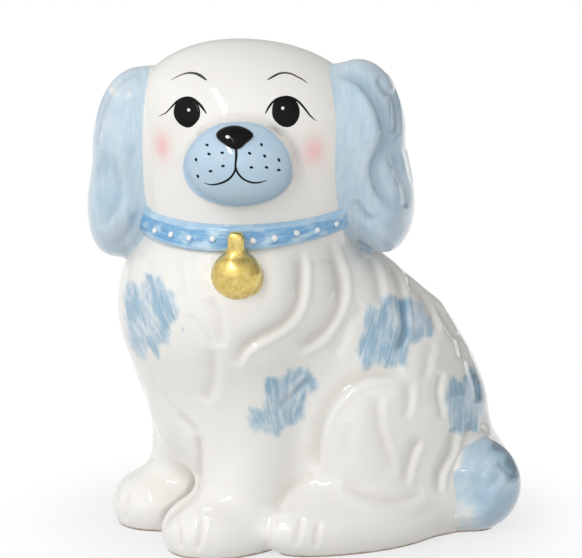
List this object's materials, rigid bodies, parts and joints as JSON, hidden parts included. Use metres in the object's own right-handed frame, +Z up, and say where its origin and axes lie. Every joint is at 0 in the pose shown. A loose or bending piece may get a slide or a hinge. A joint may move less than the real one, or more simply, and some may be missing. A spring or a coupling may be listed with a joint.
{
  "type": "dog money bank",
  "caption": "Seated spaniel coin bank in glazed ceramic, head turned to the viewer, coin slot behind the head and pull-out stopper in the base.",
  "frame": {"origin": "middle of the bounding box on the surface that the bank stands on", "axes": "+Z up; the face looks along -Y and the body turns towards -X below it, so the coin slot behind the head opens along +Y"},
  "size_m": [0.1706, 0.1426, 0.1948],
  "materials": {
    "white_glaze": "glossy warm white glaze with brushed blue patches",
    "pale_blue_glaze": "glossy glaze brushed in pale blue",
    "blue_glaze": "glossy blue glaze with white dots",
    "black_glaze": "glossy black glaze",
    "gold_lustre": "brushed gold lustre over glaze",
    "soft_stopper": "soft translucent white plastic"
  },
  "bodies": {
    "bank": {"body_shell": "white_glaze", "head_shell": "white_glaze", "ear_left": "pale_blue_glaze", "ear_right": "pale_blue_glaze", "tail": "pale_blue_glaze", "nose": "black_glaze", "collar": "blue_glaze", "pendant": "gold_lustre"},
    "stopper": {"stopper": "soft_stopper"}
  },
  "joints": [
    {"name": "stopper_pull", "type": "slide", "parent": "bank", "child": "stopper", "axis": [0, 0, -1], "range_m": [0, 0.018]}
  ]
}
